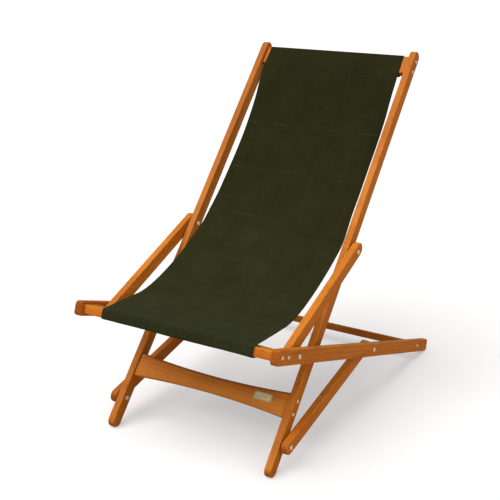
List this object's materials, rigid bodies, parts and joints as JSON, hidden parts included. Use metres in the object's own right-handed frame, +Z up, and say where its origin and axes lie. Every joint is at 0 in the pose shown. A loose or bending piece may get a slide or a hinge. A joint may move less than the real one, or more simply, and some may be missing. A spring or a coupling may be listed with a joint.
{
  "type": "folding deck chair",
  "caption": "Folding deck chair with a crossed hardwood frame on pivoting side links and a canvas sling seat stretched between a top rail and a front rail.",
  "frame": {"origin": "on the floor, at the centre of the open chair's footprint box", "axes": "+Z up, the sitter faces -Y, +X is the sitter's left hand side; X = 0 is the plane of symmetry"},
  "size_m": [0.6054, 1.0252, 0.9701],
  "materials": {
    "wood": "oiled reddish-brown hardwood, satin, softened edges",
    "canvas": "plain-woven heavy canvas, dark olive green, matt",
    "steel": "plated steel fasteners, slightly dulled",
    "washer_steel": "plain plated steel washers",
    "label": "small blank cream plate with a plain dark border"
  },
  "bodies": {
    "back_frame": {"label_plate": "label", "long_rail_left": "wood", "long_rail_right": "wood", "lower_pivot_bolt_left": "steel", "lower_pivot_bolt_right": "steel", "lower_pivot_nut_left": "steel", "lower_pivot_nut_right": "steel", "lower_pivot_washer_left": "washer_steel", "lower_pivot_washer_right": "washer_steel", "sling_back": "canvas", "stretcher": "wood", "stretcher_screw_1_left": "steel", "stretcher_screw_1_right": "steel", "stretcher_screw_2_left": "steel", "stretcher_screw_2_right": "steel", "top_rail": "wood", "top_rail_screw_1_left": "steel", "top_rail_screw_1_right": "steel", "top_rail_screw_2_left": "steel", "top_rail_screw_2_right": "steel", "upper_pivot_bolt_left": "steel", "upper_pivot_bolt_right": "steel", "upper_pivot_nut_left": "steel", "upper_pivot_nut_right": "steel", "upper_pivot_washer_left": "washer_steel", "upper_pivot_washer_right": "washer_steel"},
    "upper_link_right": {"front_pivot_bolt_right": "steel", "front_pivot_nut_right": "steel", "front_pivot_washer_right": "washer_steel", "sling_seat": "canvas", "upper_link_right": "wood"},
    "upper_link_left": {"front_pivot_bolt_left": "steel", "front_pivot_nut_left": "steel", "front_pivot_washer_left": "washer_steel", "upper_link_left": "wood"},
    "seat_frame": {"front_rail": "wood", "front_rail_screw_1_left": "steel", "front_rail_screw_1_right": "steel", "front_rail_screw_2_left": "steel", "front_rail_screw_2_right": "steel", "rear_bar": "wood", "rear_bar_screw_left": "steel", "rear_bar_screw_right": "steel", "rear_pivot_bolt_left": "steel", "rear_pivot_bolt_right": "steel", "rear_pivot_washer_left": "washer_steel", "rear_pivot_washer_right": "washer_steel", "seat_rail_left": "wood", "seat_rail_right": "wood", "sling_front": "canvas"},
    "lower_link_right": {"lower_link_right": "wood", "rear_pivot_nut_right": "steel"},
    "lower_link_left": {"lower_link_left": "wood", "rear_pivot_nut_left": "steel"}
  },
  "joints": [
    {"name": "fold", "type": "hinge", "parent": "back_frame", "child": "upper_link_right", "pos_m": [0.26725, -0.03351, 0.48051], "axis": [-1, 0, 0], "range_deg": [0, 149.45], "deforming": ["sling_front"]},
    {"name": "upper_link_left_turn", "type": "hinge", "parent": "back_frame", "child": "upper_link_left", "pos_m": [-0.26725, -0.03351, 0.48051], "axis": [-1, 0, 0], "range_deg": [0, 149.45]},
    {"name": "seat_turn", "type": "hinge", "parent": "upper_link_right", "child": "seat_frame", "pos_m": [0.29025, -0.40199, 0.32487], "axis": [1, 0, 0], "range_deg": [0, 41.5]},
    {"name": "lower_link_right_turn", "type": "hinge", "parent": "back_frame", "child": "lower_link_right", "pos_m": [0.26725, -0.38931, 0.06834], "axis": [1, 0, 0], "range_deg": [0, 35.93]},
    {"name": "lower_link_left_turn", "type": "hinge", "parent": "back_frame", "child": "lower_link_left", "pos_m": [-0.26725, -0.38931, 0.06834], "axis": [1, 0, 0], "range_deg": [0, 35.93]}
  ],
  "couplings": [
    {"joint": "upper_link_left_turn", "follows": "fold", "ratio": 1},
    {"joint": "seat_turn", "follows": "fold", "ratio": 0.27762},
    {"joint": "lower_link_right_turn", "follows": "fold", "ratio": 0.24035},
    {"joint": "lower_link_left_turn", "follows": "fold", "ratio": 0.24035}
  ]
}
